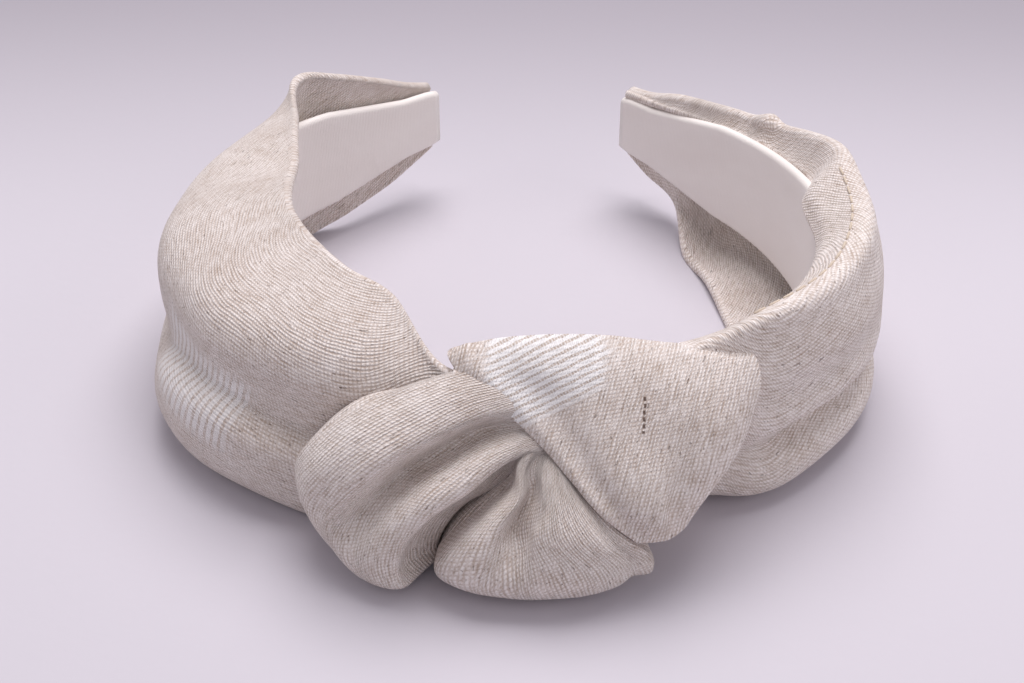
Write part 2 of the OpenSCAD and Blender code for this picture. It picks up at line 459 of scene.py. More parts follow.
@dataclass(frozen=True)
class TwillFinish:
    """Oatmeal linen twill with slubs and, in places, white stripes.

    The streak is one dark slub up the cloth, given as its place across and its two ends.
    """

    name: str
    rib_angle: float
    light: Colour = (0.95, 0.88, 0.85)
    dark: Colour = (0.42, 0.31, 0.24)
    white: Colour = (0.97, 0.95, 0.96)
    slub: Colour = (0.12, 0.07, 0.05)
    tan: Colour = (0.46, 0.36, 0.29)
    rib: float = 1.0
    pitch: float = 0.64
    stripes: Optional[StripeZone] = None
    streak: Optional[tuple[float, float, float]] = None
    float_share: float = 1.25
    bump_depth: float = 0.00028

    def material(self) -> bpy.types.Material:
        """Build the finish's material."""
        constants = {"Sheen Weight": 0.25, "Sheen Roughness": 0.5, "Specular IOR Level": 0.2}
        tree = Tree(self.name, constants)
        u, v = tree.weave()
        c, s = math.cos(math.radians(self.rib_angle)), math.sin(math.radians(self.rib_angle))
        along, over = u * c + v * s, v * c - u * s
        wander = tree.noise(along * 0.25, over * 0.5) * 0.6
        ribs = ((over + wander) * (1 / self.pitch)).sine()
        stagger = along * (1 / (self.float_share * self.pitch)) + over * (0.4 / self.pitch)
        floats = (stagger + wander).sine().step(0.1, 0.7)
        yarn = tree.noise(along * 0.35, over * 2.0, 7.0)
        fuzz = tree.noise(u * 3.2, v * 3.2, 3.0)
        cloud = tree.noise(u * 0.10, v * 0.10, 1.0)
        lift = ribs * self.rib + (1.0 - self.rib) * 0.5
        thread = lift.step(0.05, 0.75) * (floats * 0.7 + 0.3) * 0.7 + (yarn - 0.5) * 1.6 + (fuzz - 0.5) * 1.3
        tone = thread * 0.75 + cloud * 0.5 + 0.14
        colour = tree.mix(tone, rgba(self.dark), rgba(self.light))
        flecks = tree.noise(along * 1.1, over * 1.9, 11.0).step(0.65, 0.70)
        slubs = tree.noise(along * 0.45, over * 1.6, 19.0).step(0.67, 0.71)
        colour = tree.mix(flecks * 0.55 + slubs * 0.55, colour, rgba(self.slub))
        height = lift * (floats * 0.4 + 0.5) + yarn * 0.5 + fuzz * 0.3
        if self.stripes:
            shown, between = self.stripe_masks(tree, u, v)
            colour = tree.mix(shown, tree.mix(between, colour, rgba(self.tan)), rgba(self.white))
        if self.streak:
            colour = tree.mix(self.streak_mask(tree, u, v), colour, rgba(self.slub))
        return tree.finish(colour, height, self.bump_depth, 0.95 - ribs * 0.1)

    def streak_mask(self, tree: Tree, u: Value, v: Value) -> Value:
        """How dark the streak makes the cloth at a place.

        Args:
            tree: The material's tree.
            u: Place across the cloth.
            v: Place up the cloth.

        Returns:
            A mask from 0 to 1.
        """
        place, low, high = self.streak
        off = u + tree.noise(v * 0.8, 0.0, 31.0) * 0.8 - place
        beside = 1.0 - (off * off).step(0.02, 0.12)
        between = v.step(low, low + 0.4) * (1.0 - v.step(high - 0.4, high))
        return beside * between * (v * 0.8).sine().step(0.15, 0.45) * 0.9

    def stripe_masks(self, tree: Tree, u: Value, v: Value) -> tuple[Value, Value]:
        """How white the stripes make the cloth at a place, and how tan the lines between them.

        Args:
            tree: The material's tree.
            u: Place across the cloth.
            v: Place up the cloth.

        Returns:
            Two masks from 0 to 1.
        """
        zone = self.stripes
        c, s = math.cos(math.radians(zone.angle)), math.sin(math.radians(zone.angle))
        along, over = u * c + v * s, v * c - u * s
        inside: Number = zone.strength
        ragged = (tree.noise(u * 0.4, v * 0.4, 23.0) - 0.5) * 5.0
        for place, (low, high) in ((along, zone.along), (over, zone.over), (u + ragged, zone.across)):
            inside = inside * place.step(low, low + zone.fade)
            inside = inside * (1.0 - place.step(high - zone.fade, high))
        wander = tree.noise(along * 0.3, over * 0.8, 29.0) * 0.7
        lines = ((over + wander) * (1 / zone.pitch)).sine().step(0.22, 0.46)
        dashes = (along * (1 / (0.9 * self.pitch)) + over * 0.3).sine() * zone.dashes + (1.0 - zone.dashes)
        between = (1.0 - lines) * dashes
        return inside * (1.0 - between), inside * between * zone.dashes * 1.5


@dataclass(frozen=True)
class RibbonFinish:
    """Smooth cream ribbon with a very fine cross rib."""

    name: str = "ribbon_cream"
    light: Colour = (0.93, 0.88, 0.85)
    dark: Colour = (0.82, 0.75, 0.71)

    def material(self) -> bpy.types.Material:
        """Build the finish's material."""
        tree = Tree(self.name, {"Sheen Weight": 0.15, "Specular IOR Level": 0.35})
        u, v = tree.weave()
        ribs = (u * 2.2 + tree.noise(u * 0.5, v * 0.5) * 0.6).sine()
        cloud = tree.noise(u * 0.06, v * 0.12, 5.0)
        grain = tree.noise(u * 3.0, v * 3.0, 2.0)
        colour = tree.mix(ribs * 0.25 + cloud * 0.6 + grain * 0.3, rgba(self.dark), rgba(self.light))
        return tree.finish(colour, ribs * 0.3 + grain * 0.5 + cloud, 0.00012, 0.62 - cloud * 0.15)


@dataclass(frozen=True)
class PlainFinish:
    """A nearly even finish with fine grain, for foam, plastic, thread and the table."""

    name: str
    light: Colour
    dark: Colour
    rough: float
    grain: float = 0.4
    depth: float = 0.0001

    def material(self) -> bpy.types.Material:
        """Build the finish's material."""
        tree = Tree(self.name, {"Specular IOR Level": 0.3})
        place = tree.node("ShaderNodeTexCoord", {}, {}, "Object")
        settings = {"Vector": place, "Scale": 1 / (self.grain * MM), "Detail": 3.0}
        grain = tree.node("ShaderNodeTexNoise", {}, settings)
        colour = tree.mix(grain, rgba(self.dark), rgba(self.light))
        return tree.finish(colour, grain, self.depth, grain * 0.1 + self.rough)


@dataclass(frozen=True)
class TableFinish:
    """Pale lilac table whose colour darkens towards the back as painted shade, where less light falls."""

    name: str = "table_lilac_painted_shade"
    front: Colour = (0.62, 0.585, 0.64)
    back: Colour = (0.35, 0.32, 0.36)
    shade_from_y: float = 0.02
    to_y: float = 0.24

    def material(self) -> bpy.types.Material:
        """Build the finish's material."""
        tree = Tree(self.name, {"Specular IOR Level": 0.25})
        place = tree.node("ShaderNodeTexCoord", {}, {}, "Object")
        y = tree.node("ShaderNodeSeparateXYZ", {}, {0: place}, 1)
        # Painted shade: the colour runs from the front colour to the darker back colour along y.
        colour = tree.mix(y.step(self.shade_from_y, self.to_y), rgba(self.front), rgba(self.back))
        grain = tree.node("ShaderNodeTexNoise", {}, {"Vector": place, "Scale": 300.0})
        return tree.finish(colour, grain, 0.00005, grain * 0.1 + 0.6)


# ---------------------------------------------------------------- the band


@dataclass
class Band:
    """The stiff strip with its lining and foam, each in two halves."""

    plan: Plan
    lining_t: float = 0.8
    core_t: float = 1.6
    pad_t: float = 2.4
    strip_w: float = 28.4
    tip_w: float = 13.4
    pad_h: float = 23.4
    pad_back: float = 36.0
    taper_len: float = 62.0
    ring_step: float = 1.6

    @property
    def thick(self) -> float:
        """Thickness of the strip with its lining."""
        return self.lining_t + self.core_t

    def height(self, y: float, full: float, tip: float, back: float) -> float:
        """Height of a layer at a place along the band.

        Args:
            y: Place along the band's length.
            full: The layer's height along the crown and sides.
            tip: Its height at the tips.
            back: How far short of the band's tips the layer narrows.

        Returns:
            The height there.
        """
        turn = math.radians(self.plan.tip_turn)
        reach = (self.plan.half_w + self.thick) * math.sin(turn) + self.plan.tip_len * math.cos(turn)
        end = self.plan.wide_y + reach - back
        stops = [end - self.taper_len, end - self.taper_len * 0.4, end - 9, end - 3.5, end - 0.5, end]
        return float(np.interp(y, stops, [full, full * 0.82, tip * 1.06, tip * 1.0, tip * 0.88, tip * 0.8]))

    def layer(self, name: str, side: Side, n: tuple[float, float], full: float, tip: float, back: float,
              round_r: float) -> bpy.types.Object:
        """Build one half of a layer as a rounded flat bar along the plan.

        Args:
            name: Name of the piece.
            side: Which half.
            n: Its inner and outer distances from the lining's inner face.
            full: Its height along the crown and sides.
            tip: Its height at the tip.
            back: How far short of the band's tip it ends.
            round_r: Radius of its rounded edges.

        Returns:
            The new piece.
        """
        end = self.plan.arm_end - back
        count = int(end / self.ring_step)
        rings, weave = [], []
        for d in np.linspace(0, end, count):
            place, _ = self.plan.frame_at(side.value * d)
            section = self.bar(n, self.height(place[1], full, tip, min(back, self.lining_t)), round_r)
            rings.append(self.plan.ring(side.value * d, section))
            along = arc_lengths(np.vstack([section, section[:1]]))
            weave.append(np.column_stack([np.full(len(along), side.value * d), along - along[-1] / 4]))
        return tube(name, np.array(rings), np.array(weave))

    @staticmethod
    def bar(n: tuple[float, float], height: float, round_r: float, steps: int = 5) -> np.ndarray:
        """Outline of a rounded bar as [n, z] points, up its outer side and down its inner side."""
        h = height / 2 - round_r
        low, high = n[0] + round_r, n[1] - round_r
        quarter = np.linspace(0, math.pi / 2, steps)
        corner = round_r * np.column_stack([np.cos(quarter), np.sin(quarter)])
        rise = np.linspace(-h, h, 14)[1:-1]
        top = np.vstack([[high, h] + corner, [low, h] + corner[::-1] * [-1, 1]])
        outer = np.column_stack([np.full(len(rise), n[1]), rise])
        inner = np.column_stack([np.full(len(rise), n[0]), rise[::-1]])
        half = len(top) // 2
        bottom = top[::-1] * [1, -1]
        return np.vstack([bottom[half:], outer, top, inner, bottom[:half]])

    def build(self) -> None:
        """Build and dress every layer, and hide the frame's parts that it replaces."""
        ribbon, foam = RibbonFinish().material(), PlainFinish(
            "foam_white", (0.93, 0.91, 0.84), (0.82, 0.79, 0.70), 0.9, 0.6).material()
        plastic = PlainFinish("strip_plastic", (0.90, 0.90, 0.88), (0.84, 0.84, 0.82), 0.4, 2.0).material()
        sheath = self.strip_w + 2 * self.lining_t
        for side in Side:
            lining = self.layer(f"ribbon_lining_{side.word}", side, (0, self.thick), sheath,
                                self.tip_w + 2 * self.lining_t, 0, 1.15)
            lining.data.materials.append(ribbon)
            core = self.layer(f"stiff_strip_{side.word}", side, (self.lining_t + 0.15, self.thick - 0.25),
                              self.strip_w - 1, self.tip_w - 1, 2.0, 0.5)
            core.data.materials.append(plastic)
            pad = self.layer(f"foam_padding_{side.word}", side, (self.thick, self.thick + self.pad_t),
                             self.pad_h, self.tip_w, self.pad_back, 1.1)
            pad.data.materials.append(foam)
            length = self.plan.arm_end * MM
            for piece, node in ((lining, "lining"), (core, "core"), (pad, "padding")):
                self.plan.bend(piece, side)
                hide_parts(f"crown_{node}", f"{side.word}_{node}")
                LOG.info("%s: %d faces", piece.name, len(piece.data.polygons))
            sheath * MM


# ---------------------------------------------------------------- the cover


Section = list[tuple[float, float]]


@dataclass
class Wing:
    """One half of the flattened cover tube, from under the knot to the tip of its side."""

    plan: Plan
    side: Side
    stations: list[tuple[float, Section]]
    relief: Callable[[np.ndarray, np.ndarray], np.ndarray]
    finish: TwillFinish
    wide: float = 0.052
    half_t: float = 0.8
    edge_roll: float = 0.5
    rings: int = 190
    steps: int = 64

    def centre_lines(self) -> tuple[np.ndarray, np.ndarray]:
        """Distances of the rings, and the cloth's middle line at each.

        Returns:
            Array of distances and array of shape (rings, steps, 2) of [n, z] points.
        """
        distances = smooth([d for d, _ in self.stations], self.rings)
        coarse = smooth([section for _, section in self.stations], self.rings)
        lines = np.array([smooth(line, self.steps) for line in coarse])
        share = np.linspace(0, 1, self.steps)
        step = np.gradient(lines, axis=1)
        step /= np.linalg.norm(step, axis=2, keepdims=True) + 1e-9
        out = np.stack([step[..., 1], -step[..., 0]], axis=-1)
        push = np.array([self.relief(np.full(self.steps, d), share) for d in distances])
        return distances, lines + out * push[..., None]

    def at(self, lines: np.ndarray, distances: np.ndarray, d: float, share: float, off: float) -> np.ndarray:
        """Place on the cover's outer face.

        Args:
            lines: The middle lines.
            distances: Their distances.
            d: Distance from the crown's middle.
            share: Share of the section's length up from the lower hem.
            off: Distance out of the cloth's middle.

        Returns:
            The place, in millimetres.
        """
        i = int(np.argmin(abs(distances - d)))
        line = lines[i]
        k = min(max(share * (self.steps - 1), 1), self.steps - 2)
        j = int(k)
        q = line[j] + (line[j + 1] - line[j]) * (k - j)
        step = line[j + 1] - line[j - 1]
        step /= np.linalg.norm(step)
        q = q + np.array([step[1], -step[0]]) * off
        return self.plan.ring(self.side.value * d, q[None])[0]

    def build(self) -> bpy.types.Object:
        """Build and dress the wing, and hide the frame's cover parts.

        Returns:
            The new piece.
        """
        distances, lines = self.centre_lines()
        share = np.linspace(0, 1, self.steps)
        near_edge = np.exp(-share / 0.035) + np.exp(-(1 - share) / 0.035)
        half = self.half_t + self.edge_roll * near_edge
        turn = np.linspace(-1, 1, 7)[1:-1] * math.pi / 2
        rings, weave = [], []
        for d, line in zip(distances, lines):
            step = np.gradient(line, axis=0)
            step /= np.linalg.norm(step, axis=1, keepdims=True) + 1e-9
            out = np.column_stack([step[:, 1], -step[:, 0]])
            up = arc_lengths(line)
            tops = [line[-1] + half[-1] * (step[-1] * math.cos(a) - out[-1] * math.sin(a)) for a in turn]
            lows = [line[0] + half[0] * (out[0] * math.sin(a) - step[0] * math.cos(a)) for a in turn]
            ring = np.vstack([line + out * half[:, None], tops, (line - out * half[:, None])[::-1], lows])
            ring[:, 1] = np.maximum(ring[:, 1], -self.plan.mid_z)
            over_top, under_hem = np.linspace(up[-1], up[-1] + 1.5, 5), np.linspace(0, -1.5, 5)
            flat = np.concatenate([up, over_top, up[::-1], under_hem, [0]])
            rings.append(self.plan.ring(self.side.value * d, ring))
            weave.append(np.column_stack([np.full(len(flat), self.side.value * d), flat]))
        piece = tube(f"linen_cover_{self.side.word}", np.array(rings), np.array(weave))
        piece.data.materials.append(self.finish.material())
        self.plan.bend(piece, self.side)
        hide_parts("crown_cover", f"{self.side.word}_cover")
        length = (distances[-1] - distances[0]) * MM
        f"foam_padding_{self.side.word}"
        LOG.info("%s: %d faces", piece.name, len(piece.data.polygons))
        return piece

    def stitch(self, share: float, reach: tuple[float, float], material: bpy.types.Material,
               long: float = 2.6, gap: float = 0.9, radius: float = 0.28, proud: float = 0.12) -> None:
        """Sew a row of stitches along the wing.

        Args:
            share: Share of the section's length up from the lower hem.
            reach: Distances from the crown's middle of the row's ends.
            material: The thread's material.
            long: Length of a stitch.
            gap: Gap between stitches.
            radius: Radius of the thread.
            proud: Distance of the thread's middle out of the cloth.
        """
        distances, lines = self.centre_lines()
        work = bmesh.new()
        for d in np.arange(reach[0], reach[1], long + gap):
            places = [self.at(lines, distances, d + k * long, share, self.half_t + proud) for k in (0, 1)]
            ends = [Vector(place) for place in places]
            axis = ends[1] - ends[0]
            turn = axis.to_track_quat("Z", "Y").to_matrix().to_4x4()
            made = bmesh.ops.create_uvsphere(work, u_segments=8, v_segments=6, radius=radius)
            for vert in made["verts"]:
                if abs(vert.co.z) > 1e-6:
                    vert.co.z += math.copysign(axis.length / 2 - radius, vert.co.z)
                vert.co = (turn @ vert.co + (ends[0] + ends[1]) / 2) * MM
                vert.co.z = max(vert.co.z, 0.05 * MM)
        mesh = bpy.data.meshes.new(f"stitches_{self.side.word}")
        work.to_mesh(mesh)
        work.free()
        mesh.polygons.foreach_set("use_smooth", [True] * len(mesh.polygons))
        piece = bpy.data.objects.new(mesh.name, mesh)
        bpy.context.scene.collection.objects.link(piece)
        piece.data.materials.append(material)
        self.plan.bend(piece, self.side)
        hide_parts(f"{self.side.word}_seam_thread")
        LOG.info("%s: %d faces", piece.name, len(piece.data.polygons))


@dataclass
class Cover:
    """Both wings of the cover with their folds, hems and stitching."""

    plan: Plan
    snug: float = 5.9
    lean: float = 20.0
    reach_in: float = 14.0
    low: float = -21.2
    top: float = 21.2
    over_z: float = 16.9
    tip_n: float = 3.8
    short: float = 0.6

    def left_section(self, hem: float, lip: float, valley: float, lean: float, rise: float = 0.0) -> Section:
        """Section of the left wing: a rolled lower lip, a valley over it and a top that leans in."""
        n = self.snug
        return [(hem, self.low), (n + lip * 0.55, self.low + 1.0), (n + lip, -15.5 + rise * 0.3),
                (n + lip * 0.94, -10.0 + rise * 0.85), (n + lip * 0.16, -7.0 + rise),
                (n + 0.2 + valley * 0.4, -3.5 + rise * 0.9), (n + valley, 4 + rise * 0.4),
                (n + valley * 0.4, 10.5),
                (n - 2.2 - lean * 0.06, 15.2), (n * 0.4 - lean * 0.42, 18.4), (-lean, self.top - 0.4)]

    def right_section(self, hem: float, puff: float, crease: float, top: float, drop: float = 0.0) -> Section:
        """Section of the right wing: a hem that reaches in, a puffed side and an upright top."""
        n = self.snug
        return [(hem, self.low + 0.4), (n - 4, self.low), (n + puff * 0.9, -17.5), (n + puff, -12),
                (n + puff - crease, -7.5), (n + puff, -2.5), (n + puff, 3), (n + puff * 0.9, 8.5),
                (n + puff * 0.65 + top * 0.3, 13 - drop * 0.5),
                (n + puff * 0.3 + top * 0.7, 17.5 - drop * 0.8),
                (n + top, self.top - drop)]

    def lined(self, d: float, section: Section, tuck: float) -> Section:
        """A section whose top rolls over the lining's upper edge, or folds down behind it.

        Args:
            d: Distance of the section from the crown's middle.
            section: The section without the roll.
            tuck: How far the roll comes round the lining's edge; 0 folds it down behind the edge.

        Returns:
            The section with four more stops.
        """
        place, _ = self.plan.frame_at(d)
        edge = Band(self.plan).height(place[1], 30.0, 15.0, 0.0) / 2 + 1.3
        n, z = section[-1]
        if not tuck:
            end_n, end_z = (3.5, edge - 2.1) if n > 5 else (n - 1.7, min(z, edge) - 0.4)
            return section + [(n - 1.0, z + 0.1)] + [
                (n - 1.0 + (end_n - n + 1.0) * k, z + (end_z - z) * k) for k in (0.35, 0.7, 1.0)]
        return section + [(n * 0.66, max(z, edge) + 0.2), (n * 0.3, (z + edge) / 2 + 0.5),
                          (0.4 - tuck * 0.6, edge + 0.1), (0.2 - tuck, edge - tuck * 2.0)]

    def plain(self, low: float, high: float, tuck: float) -> Section:
        """Upright section between two heights whose edges tuck in."""
        heights = np.linspace(low, high, 11)
        pull = np.abs(np.linspace(-1, 1, 11)) ** 4 * tuck
        return [(self.snug - p, z) for p, z in zip(pull, heights)]

    def tip(self, below: float, above: float) -> Section:
        """Upright section that hugs the strip near its tip."""
        return [(self.tip_n + 0.3 * (1 - k * k), z)
                for k, z in zip(np.linspace(-1, 1, 11), np.linspace(-below, above, 11))]

    def left_relief(self, d: np.ndarray, share: np.ndarray) -> np.ndarray:
        """Wrinkles of the left wing, outward in millimetres, from distance and share up."""
        soft = 0.35 * np.sin(d * 0.11 + share * 5) + 0.25 * np.sin(d * 0.23 - share * 9 + 1)
        dent = -1.2 * bell(share, 0.60, 0.12) * bell(d, 62, 22)
        pleat = 0.9 * bell(share, 0.20 + (d - 60) * 0.0012, 0.05) * bell(d, 74, 20)
        return (soft + dent + pleat) * np.clip((d - 20) / 20, 0, 1) * np.clip((170 - d) / 20, 0, 1)

    def right_relief(self, d: np.ndarray, share: np.ndarray) -> np.ndarray:
        """Wrinkles of the right wing, outward in millimetres, from distance and share up."""
        soft = 0.3 * np.sin(d * 0.13 + share * 6) + 0.25 * np.sin(d * 0.21 + share * 8 + 2)
        fold = -1.2 * bell(share, 0.44, 0.045) * bell(d, 66, 14)
        pleat = 1.8 * bell(share, 0.72, 0.08) * bell(d, 139, 3)
        return (soft + fold + pleat) * np.clip((d - 25) / 20, 0, 1) * np.clip((170 - d) / 20, 0, 1)

    def left_wing(self) -> Wing:
        """The wing that ends beside the knot's loop, with its folds and white stripes."""
        left, lean = self.left_section, self.lean
        stations = [
            (-6, self.plain(-self.over_z, self.over_z - 2.5, 2)),
            (8, self.plain(self.low + 2, self.over_z - 1.5, 4)),
            (22, left(0, 3.0, 0.1, lean * 0.5, 5.0)),
            (38, left(0, 5.4, 0.4, lean * 0.75, 5.0)),
            (52, left(0, 6.2, 0.9, lean * 0.95, 6.5)),
            (66, left(0, 5.4, 1.6, lean, 5.0)),
            (82, left(-1, 3.4, 1.6, lean, 0.5)),
            (98, left(-1, 2.0, 0.8, lean * 0.98)),
            (114, left(-1, 1.2, 0.3, lean * 0.82)),
            (130, left(-0.5, 0.6, 0, lean * 0.4)),
            (144, self.plain(self.low + 1, self.top - 0.6, 0.6)),
            (154, self.tip(17, 18.4)),
            (166, self.tip(14.5, 13.4)),
            (174, self.tip(11.5, 9.6)),
            (self.plan.arm_end - self.short, self.tip(8.6, 7.2))]
        zone = StripeZone((48, 80), 80, (9, 30), pitch=1.7, fade=5.0, strength=0.6, dashes=0.1)
        # Painted shade: this wing's light thread colour is darker than on the other pieces of the same cloth,
        # standing in for the shade on it.
        finish = TwillFinish("linen_twill_left_painted_shade", -14, rib=0.6, light=(0.88, 0.81, 0.78), stripes=zone)
        return Wing(self.plan, Side.LEFT, stations, self.left_relief, finish)

    def right_wing(self) -> Wing:
        """The wing on the tongue's side, whose top rolls over the band."""
        right, inward = self.right_section, self.reach_in
        stations = [
            (-6, self.plain(-self.over_z, self.over_z - 0.6, 2), 0),
            (12, self.plain(-self.over_z, self.over_z, 2), 0),
            (34, self.plain(self.low + 1.5, self.over_z + 0.6, 2), 1.0),
            (50, right(-inward * 0.4, 2.4, 2.6, -0.4), 1.6),
            (62, right(-inward * 0.6, 4.2, 4.6, 0.4), 1.8),
            (76, right(-inward * 0.85, 5.6, 4.8, 1.2), 1.8),
            (92, right(-inward, 5.8, 2.4, 1.8), 1.7),
            (108, right(-inward, 5.0, 0.5, 2.4), 1.4),
            (117, right(-inward, 3.8, 0, 2.6, 0.7), 0),
            (128, right(-inward * 0.9, 2.4, 0, 1.2, 3.0), 0),
            (139, right(-inward * 0.7, 1.0, 0, 0, 5.4), 0),
            (151, right(-inward * 0.4, 0, 0, -0.6, 7.0), 0),
            (164, self.tip(15.5, 12.6), 0),
            (174, self.tip(11.8, 9.4), 0),
            (self.plan.arm_end - self.short, self.tip(8.6, 8.4), 0)]
        lined = [(d, self.lined(d, section, tuck)) for d, section, tuck in stations]
        finish = TwillFinish("linen_twill_right", 35, rib=0.6)
        return Wing(self.plan, Side.RIGHT, lined, self.right_relief, finish, wide=0.062)

    def build(self) -> None:
        """Build both wings and their stitching."""
        left_wing, right_wing = self.left_wing(), self.right_wing()
        left_wing.build()
        thread = PlainFinish("sewing_thread", (0.74, 0.64, 0.53), (0.55, 0.45, 0.36), 0.8, 0.3).material()
        left_wing.stitch(0.06, (62, 146), thread)
        right_wing.build()
        right_wing.stitch(0.80, (50, 108), thread)


# ---------------------------------------------------------------- the knot


Point = tuple[float, float, float]


@dataclass
class Lobe:
    """One folded lobe of the knot, lofted through fronts of points that all lie in front of the band."""

    name: str
    node: str
    fronts: list[list[Point]]
    finish: TwillFinish
    flat: tuple[float, float]
    seat: Callable[[np.ndarray], np.ndarray]
    crease: Callable[[np.ndarray, np.ndarray], np.ndarray]
    rings: int = 120
    steps: int = 96
    slope: Optional[tuple[float, float]] = None

    def build(self) -> bpy.types.Object:
        """Build, dress and attach the lobe.

        Returns:
            The new piece.
        """
        along_rows = smooth(self.fronts, self.rings)
        fronts = smooth(along_rows.swapaxes(0, 1), self.steps).swapaxes(0, 1)
        backs = self.seat(fronts)
        edge = 6
        rows = []
        for front, back in zip(fronts, backs):
            right = [front[-1] + (back[-1] - front[-1]) * k / edge for k in range(1, edge)]
            left = [back[0] + (front[0] - back[0]) * k / edge for k in range(1, edge)]
            rows.append(np.vstack([front, right, back[::-1], left]))
        rings = np.array(rows)
        rings = self.rounded(rings)
        along = np.median([arc_lengths(line) for line in fronts.swapaxes(0, 1)], axis=0)
        across = np.median([arc_lengths(np.vstack([ring, ring[:1]])) for ring in rings], axis=0)
        weave = np.stack(np.broadcast_arrays(along[:, None], across[None, :]), axis=-1)
        if self.slope:
            up = rings[..., 1] * self.slope[0] + rings[..., 2] * self.slope[1]
            weave = np.stack([rings[..., 0], up], axis=-1)
            weave = np.concatenate([weave, weave[:, :1]], axis=1)
        share_i = np.linspace(0, 1, self.rings)[:, None]
        share_j = np.linspace(0, 1, self.steps)[None, :]
        out = self.outward(rings)
        rings[:, :self.steps] += out[:, :self.steps] * self.crease(share_i, share_j)[..., None]
        rings[..., 2] = np.maximum(rings[..., 2], 0.05)
        piece = tube(self.name, rings, weave)
        piece.data.materials.append(self.finish.material())
        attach(piece, "crown")
        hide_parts(self.node)
        LOG.info("%s: %d faces", piece.name, len(piece.data.polygons))
        return piece

    @staticmethod
    def rounded(rings: np.ndarray, passes: int = 5) -> np.ndarray:
        """Soften the turn from front to back round every ring."""
        for _ in range(passes):
            rings = (np.roll(rings, 1, axis=1) + 2 * rings + np.roll(rings, -1, axis=1)) / 4
        return rings

    @staticmethod
    def outward(rings: np.ndarray) -> np.ndarray:
        """Unit directions out of the surface at every point, towards -Y on the front."""
        along = np.gradient(rings, axis=0)
        across = (np.roll(rings, -1, axis=1) - np.roll(rings, 1, axis=1)) / 2
        normal = np.cross(along, across)
        normal /= np.linalg.norm(normal, axis=2, keepdims=True) + 1e-9
        front = normal[:, : rings.shape[1] // 2, 1].mean()
        return normal * (1 if front < 0 else -1)


